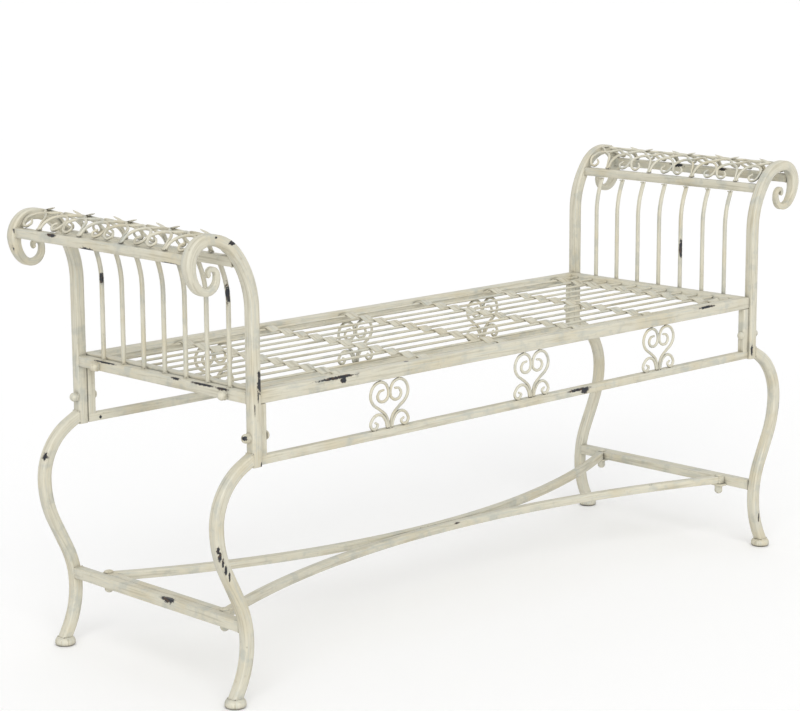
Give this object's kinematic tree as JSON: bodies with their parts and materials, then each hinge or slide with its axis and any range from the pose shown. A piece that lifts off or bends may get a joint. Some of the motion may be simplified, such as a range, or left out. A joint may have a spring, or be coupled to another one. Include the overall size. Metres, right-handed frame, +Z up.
{
  "type": "rolled-arm iron bench",
  "caption": "Backless painted iron bench with outward-rolled scroll arms, a rod-and-strap seat, heart scrolls in the aprons, curved legs and a bowed stretcher.",
  "frame": {"origin": "on the floor under the middle of the bench", "axes": "+X along the bench, +Y towards the back, +Z up"},
  "size_m": [1.3364, 0.429, 0.6687],
  "materials": {
    "frame_paint": "satin antique cream, rubbed and chipped to dark metal",
    "scroll_paint": "satin antique cream on bent wire, rubbed and chipped",
    "seat_paint": "satin antique cream with darker glaze in the seat's recesses",
    "bolt_paint": "satin antique cream over steel fixings"
  },
  "bodies": {
    "root": {"post_front_left": "frame_paint", "leg_front_left": "frame_paint", "foot_front_left": "frame_paint", "post_bolt_front_left": "bolt_paint", "rail_bolt_front_left": "bolt_paint", "stretcher_bolt_front_left": "bolt_paint", "post_back_left": "frame_paint", "leg_back_left": "frame_paint", "foot_back_left": "frame_paint", "post_bolt_back_left": "bolt_paint", "rail_bolt_back_left": "bolt_paint", "stretcher_bolt_back_left": "bolt_paint", "cross_rail_left": "frame_paint", "inner_arm_rail_left": "frame_paint", "outer_arm_rail_left": "frame_paint", "end_stretcher_left": "frame_paint", "arm_scrollwork_left": "scroll_paint", "spindle_left_1": "scroll_paint", "spindle_left_2": "scroll_paint", "spindle_left_3": "scroll_paint", "spindle_left_4": "scroll_paint", "spindle_left_5": "scroll_paint", "spindle_left_6": "scroll_paint", "spindle_left_7": "scroll_paint", "post_front_right": "frame_paint", "leg_front_right": "frame_paint", "foot_front_right": "frame_paint", "post_bolt_front_right": "bolt_paint", "rail_bolt_front_right": "bolt_paint", "stretcher_bolt_front_right": "bolt_paint", "post_back_right": "frame_paint", "leg_back_right": "frame_paint", "foot_back_right": "frame_paint", "post_bolt_back_right": "bolt_paint", "rail_bolt_back_right": "bolt_paint", "stretcher_bolt_back_right": "bolt_paint", "cross_rail_right": "frame_paint", "inner_arm_rail_right": "frame_paint", "outer_arm_rail_right": "frame_paint", "end_stretcher_right": "frame_paint", "arm_scrollwork_right": "scroll_paint", "spindle_right_1": "scroll_paint", "spindle_right_2": "scroll_paint", "spindle_right_3": "scroll_paint", "spindle_right_4": "scroll_paint", "spindle_right_5": "scroll_paint", "spindle_right_6": "scroll_paint", "spindle_right_7": "scroll_paint", "seat_rim": "seat_paint", "seat_grille": "seat_paint", "apron_frame_front": "seat_paint", "heart_front_left": "scroll_paint", "heart_front_middle": "scroll_paint", "heart_front_right": "scroll_paint", "apron_frame_back": "seat_paint", "heart_back_left": "scroll_paint", "heart_back_middle": "scroll_paint", "heart_back_right": "scroll_paint", "bowed_stretcher": "frame_paint"}
  },
  "joints": []
}
